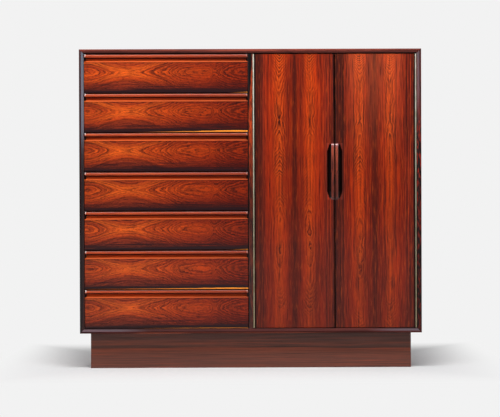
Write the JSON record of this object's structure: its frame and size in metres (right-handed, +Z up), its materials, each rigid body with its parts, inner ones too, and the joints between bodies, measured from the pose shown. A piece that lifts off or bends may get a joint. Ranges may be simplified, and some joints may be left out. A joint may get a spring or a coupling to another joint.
{
  "type": "bachelor chest",
  "caption": "Veneered wooden chest on a recessed plinth: a bank of drawers with full-width lipped pulls beside a shelved cupboard whose doors hang on full-height piano hinges.",
  "frame": {"origin": "on the floor, under the middle of the chest's overall box", "axes": "+X to the right as seen from the front, +Y from the front to the back, +Z up"},
  "size_m": [1.245, 0.46, 1.166],
  "materials": {
    "case_veneer": "gloss lacquer",
    "back_board": "matt",
    "plinth_wood": "satin lacquer",
    "inner_wood": "matt",
    "shelf_veneer": "satin lacquer",
    "door_veneer": "gloss lacquer",
    "drawer_veneer": "gloss lacquer",
    "pull_wood": "gloss lacquer",
    "drawer_lining": "satin",
    "drawer_floor": "matt",
    "hinge_metal": "satin",
    "pin_metal": "satin",
    "catch_plastic": "matt"
  },
  "bodies": {
    "carcass": {"case_top": "case_veneer", "case_bottom": "case_veneer", "case_left_side": "case_veneer", "case_right_side": "case_veneer", "centre_divider": "case_veneer", "back_panel": "back_board", "plinth_front": "plinth_wood", "plinth_back": "plinth_wood", "plinth_left": "plinth_wood", "plinth_right": "plinth_wood", "plinth_corner_blocks": "inner_wood", "drawer_runners": "inner_wood", "upper_shelf": "shelf_veneer", "lower_shelf": "shelf_veneer", "shelf_pins": "pin_metal", "hinge_pins": "pin_metal", "door_catches": "catch_plastic", "left_hinge_case_leaf": "hinge_metal", "right_hinge_case_leaf": "hinge_metal"},
    "left_door": {"left_door": "door_veneer", "left_door_pull": "pull_wood", "left_hinge_door_leaf": "hinge_metal"},
    "right_door": {"right_door": "door_veneer", "right_door_pull": "pull_wood", "right_hinge_door_leaf": "hinge_metal"},
    "drawer_1": {"drawer_1_front": "drawer_veneer", "drawer_1_pull": "pull_wood", "drawer_1_sides": "drawer_lining", "drawer_1_back": "drawer_lining", "drawer_1_bottom": "drawer_floor"},
    "drawer_2": {"drawer_2_front": "drawer_veneer", "drawer_2_pull": "pull_wood", "drawer_2_sides": "drawer_lining", "drawer_2_back": "drawer_lining", "drawer_2_bottom": "drawer_floor"},
    "drawer_3": {"drawer_3_front": "drawer_veneer", "drawer_3_pull": "pull_wood", "drawer_3_sides": "drawer_lining", "drawer_3_back": "drawer_lining", "drawer_3_bottom": "drawer_floor"},
    "drawer_4": {"drawer_4_front": "drawer_veneer", "drawer_4_pull": "pull_wood", "drawer_4_sides": "drawer_lining", "drawer_4_back": "drawer_lining", "drawer_4_bottom": "drawer_floor"},
    "drawer_5": {"drawer_5_front": "drawer_veneer", "drawer_5_pull": "pull_wood", "drawer_5_sides": "drawer_lining", "drawer_5_back": "drawer_lining", "drawer_5_bottom": "drawer_floor"},
    "drawer_6": {"drawer_6_front": "drawer_veneer", "drawer_6_pull": "pull_wood", "drawer_6_sides": "drawer_lining", "drawer_6_back": "drawer_lining", "drawer_6_bottom": "drawer_floor"},
    "drawer_7": {"drawer_7_front": "drawer_veneer", "drawer_7_pull": "pull_wood", "drawer_7_sides": "drawer_lining", "drawer_7_back": "drawer_lining", "drawer_7_bottom": "drawer_floor"}
  },
  "joints": [
    {"name": "drawer_1_slide", "type": "slide", "parent": "carcass", "child": "drawer_1", "axis": [0, -1, 0], "range_m": [0, 0.32]},
    {"name": "drawer_2_slide", "type": "slide", "parent": "carcass", "child": "drawer_2", "axis": [0, -1, 0], "range_m": [0, 0.32]},
    {"name": "drawer_3_slide", "type": "slide", "parent": "carcass", "child": "drawer_3", "axis": [0, -1, 0], "range_m": [0, 0.32]},
    {"name": "drawer_4_slide", "type": "slide", "parent": "carcass", "child": "drawer_4", "axis": [0, -1, 0], "range_m": [0, 0.32]},
    {"name": "drawer_5_slide", "type": "slide", "parent": "carcass", "child": "drawer_5", "axis": [0, -1, 0], "range_m": [0, 0.32]},
    {"name": "drawer_6_slide", "type": "slide", "parent": "carcass", "child": "drawer_6", "axis": [0, -1, 0], "range_m": [0, 0.32]},
    {"name": "drawer_7_slide", "type": "slide", "parent": "carcass", "child": "drawer_7", "axis": [0, -1, 0], "range_m": [0, 0.32]},
    {"name": "left_door_hinge", "type": "hinge", "parent": "carcass", "child": "left_door", "pos_m": [0.012, -0.222, 0.649], "axis": [0, 0, -1], "range_deg": [0, 90]},
    {"name": "right_door_hinge", "type": "hinge", "parent": "carcass", "child": "right_door", "pos_m": [0.6025, -0.222, 0.649], "axis": [0, 0, 1], "range_deg": [0, 120]}
  ]
}
